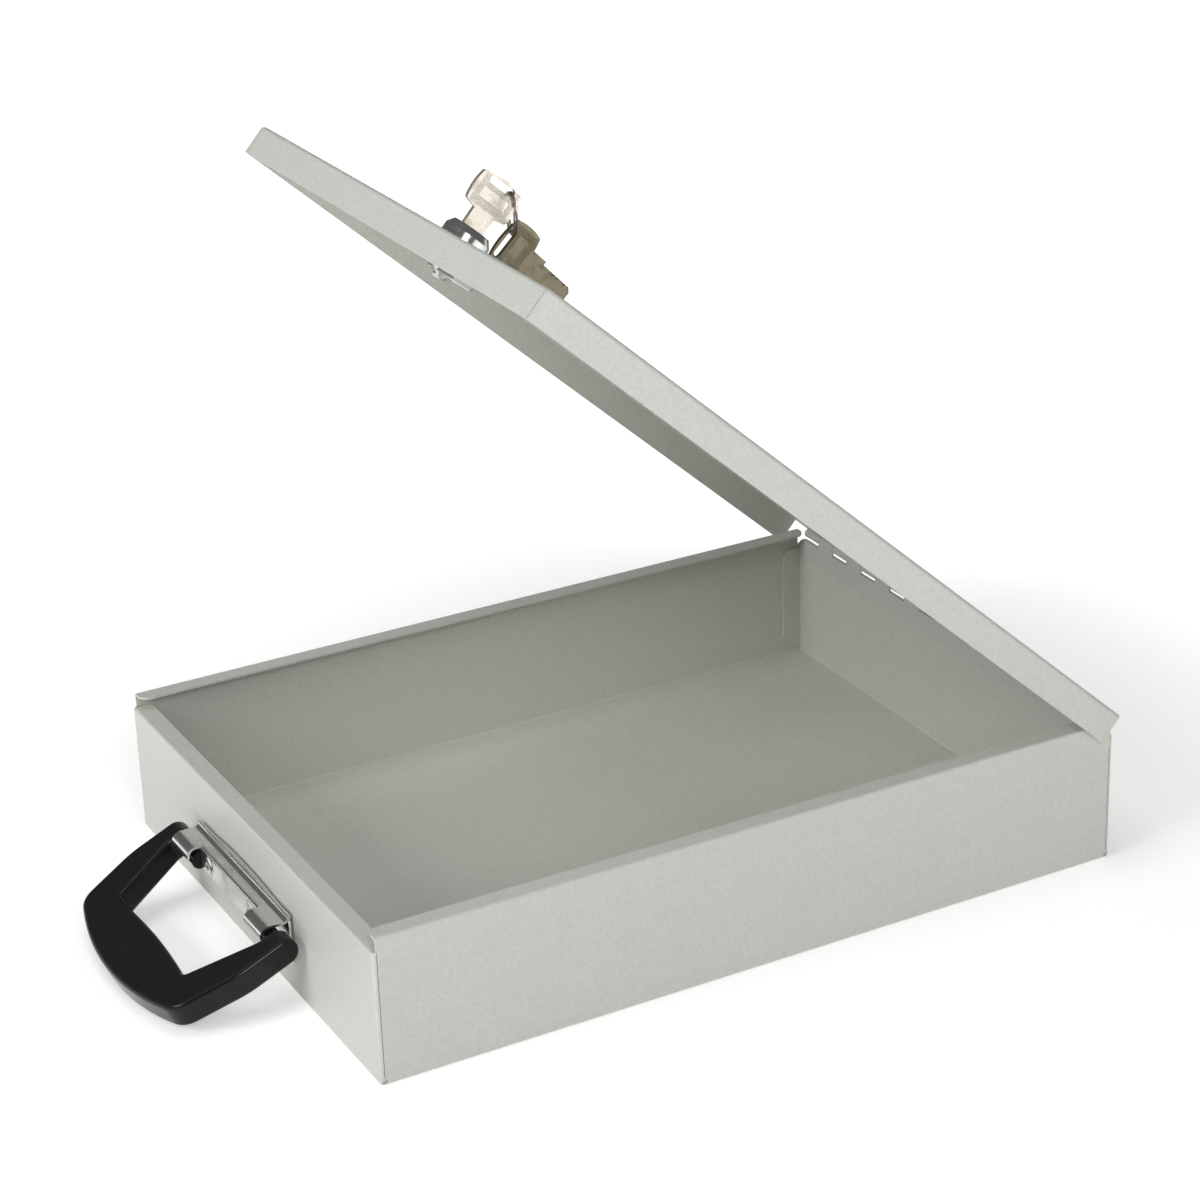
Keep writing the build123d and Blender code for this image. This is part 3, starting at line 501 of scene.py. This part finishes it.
# Split ring: one flat steel wire wound twice, so its two turns lie side by side and
# cross over once, hung in the slots of both keys.
ring_steel = metal("ring_steel", (0.34, 0.31, 0.26), (0.16, 0.14, 0.11), 0.4, 0.3, 900.0, 0.5, 0.2, 0.00003)
ring_hang = Vector((0, -0.0393, 0.30962))
ring_yaw = math.radians(15.0)
ring_side = Vector((math.cos(ring_yaw), -math.sin(ring_yaw), 0))
ring_normal = Vector((math.sin(ring_yaw), math.cos(ring_yaw), 0))
ring_radius = 0.0084
ring_centre = ring_hang - Vector((0, 0, ring_radius))
wire_half_width = 0.00042
wire_half_depth = 0.00068
shape = bmesh.new()
rows = []
turn_steps = 192
turn_spacing = 0.00108
wire_sides = 12
ring_start = math.radians(35)
ring_share = 0.985
squareness = 0.6
for n in range(turn_steps + 1):
    angle = ring_start + 4 * math.pi * ring_share * n / turn_steps
    share = min(max((n / turn_steps - 0.46) / 0.08, 0.0), 1.0)
    shift = (share * share * (3 - 2 * share) - 0.5) * turn_spacing
    outward = ring_side * math.cos(angle) + Vector((0, 0, 1)) * math.sin(angle)
    spot = ring_centre + ring_normal * shift
    row = []
    for m in range(wire_sides):
        around = 2 * math.pi * m / wire_sides
        deep = wire_half_depth * math.copysign(abs(math.cos(around)) ** squareness, math.cos(around))
        wide = wire_half_width * math.copysign(abs(math.sin(around)) ** squareness, math.sin(around))
        row.append(spot + outward * (ring_radius + deep) + ring_normal * wide)
    rows.append(row)
made = grid_faces(shape, rows, closed=True)
shape.faces.new(made[0])
shape.faces.new(list(reversed(made[-1])))
split_ring = add_piece("split_ring", shape, ring_steel, "ring")
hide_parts("key_ring")


# Studio: a pale floor that turns white away from the box, white surroundings, and
# soft boxes to the right, in front and above.
def soft_box(name, place, target, size, power):
    lamp = bpy.data.lights.new(name, "AREA")
    lamp.shape = "RECTANGLE"
    lamp.size, lamp.size_y = size
    lamp.energy = power
    holder = bpy.data.objects.new(name, lamp)
    aim = (Vector(target) - Vector(place)).to_track_quat("-Z", "Y")
    holder.matrix_world = Matrix.Translation(place) @ aim.to_matrix().to_4x4()
    bpy.context.scene.collection.objects.link(holder)


soft_box("right_light", (2.1, -0.7, 1.5), (0, 0, 0.08), (1.0, 1.0), 20.5)
soft_box("front_light", (0.3, -2.2, 1.3), (0, 0, 0.1), (1.2, 0.9), 25.5)
soft_box("top_light", (0.1, -0.5, 2.4), (0, 0, 0.1), (1.2, 1.2), 12.0)

floor_mesh = bpy.data.meshes.new("studio_floor")
shape = bmesh.new()
bmesh.ops.create_grid(shape, x_segments=1, y_segments=1, size=4.0)
shape.to_mesh(floor_mesh)
shape.free()
floor = bpy.data.objects.new("studio_floor", floor_mesh)
bpy.context.scene.collection.objects.link(floor)
floor_look = bpy.data.materials.new("studio_floor")
floor_look.use_nodes = True
floor_shader = floor_look.node_tree.nodes["Principled BSDF"]
floor_shader.inputs["Base Color"].default_value = (0.86, 0.86, 0.86, 1.0)
floor_shader.inputs["Roughness"].default_value = 0.9
floor_shader.inputs["Emission Color"].default_value = (1.0, 1.0, 1.0, 1.0)
floor_nodes = Wiring(floor_look.node_tree)
spread = floor_nodes.tree.nodes.new("ShaderNodeVectorMath")
spread.operation = "LENGTH"
floor_nodes.join(floor_nodes.place, spread.inputs[0])
# Painted light: the floor glows, with emission rising from 0.38 within 0.2 m of the box's centre to 0.95
# beyond 0.55 m.
floor_nodes.join(floor_nodes.ramp(spread.outputs["Value"], 0.2, 0.55, 0.38, 0.95),
                 floor_shader.inputs["Emission Strength"])
floor_mesh.materials.append(floor_look)

world = bpy.data.worlds.new("studio")
world.use_nodes = True
room = world.node_tree.nodes["Background"]
room.inputs["Color"].default_value = (1.0, 1.0, 1.0, 1.0)
room.inputs["Strength"].default_value = 0.12
seen = world.node_tree.nodes.new("ShaderNodeBackground")
seen.inputs["Color"].default_value = (1.0, 1.0, 1.0, 1.0)
rays = world.node_tree.nodes.new("ShaderNodeLightPath")
either = world.node_tree.nodes.new("ShaderNodeMixShader")
world.node_tree.links.new(rays.outputs["Is Camera Ray"], either.inputs[0])
world.node_tree.links.new(room.outputs[0], either.inputs[1])
world.node_tree.links.new(seen.outputs[0], either.inputs[2])
world.node_tree.links.new(either.outputs[0], world.node_tree.nodes["World Output"].inputs["Surface"])
bpy.context.scene.world = world
bpy.context.scene.view_settings.view_transform = "Standard"

# Camera: from the right and above, with a long lens, as the photograph was taken.
# The angles and the place come from a fit to the straight edges of the box.
azimuth, elevation, roll = (math.radians(a) for a in (62.12, 24.17, -1.95))
towards = Vector((-math.sin(azimuth) * math.cos(elevation), math.cos(azimuth) * math.cos(elevation),
                  -math.sin(elevation)))
level = towards.cross(Vector((0, 0, 1))).normalized()
upright = level.cross(towards)
right = level * math.cos(roll) + upright * math.sin(roll)
up = upright * math.cos(roll) - level * math.sin(roll)
lens = bpy.data.cameras.new("photo_camera")
lens.sensor_width = 36.0
lens.lens = 94.385
lens.clip_start = 0.05
lens.clip_end = 20.0
camera = bpy.data.objects.new("photo_camera", lens)
view = Matrix((right, up, -towards)).transposed().to_4x4()
camera.matrix_world = Matrix.Translation((1.10445, -0.58881, 0.68096)) @ view
bpy.context.scene.collection.objects.link(camera)
bpy.context.scene.camera = camera
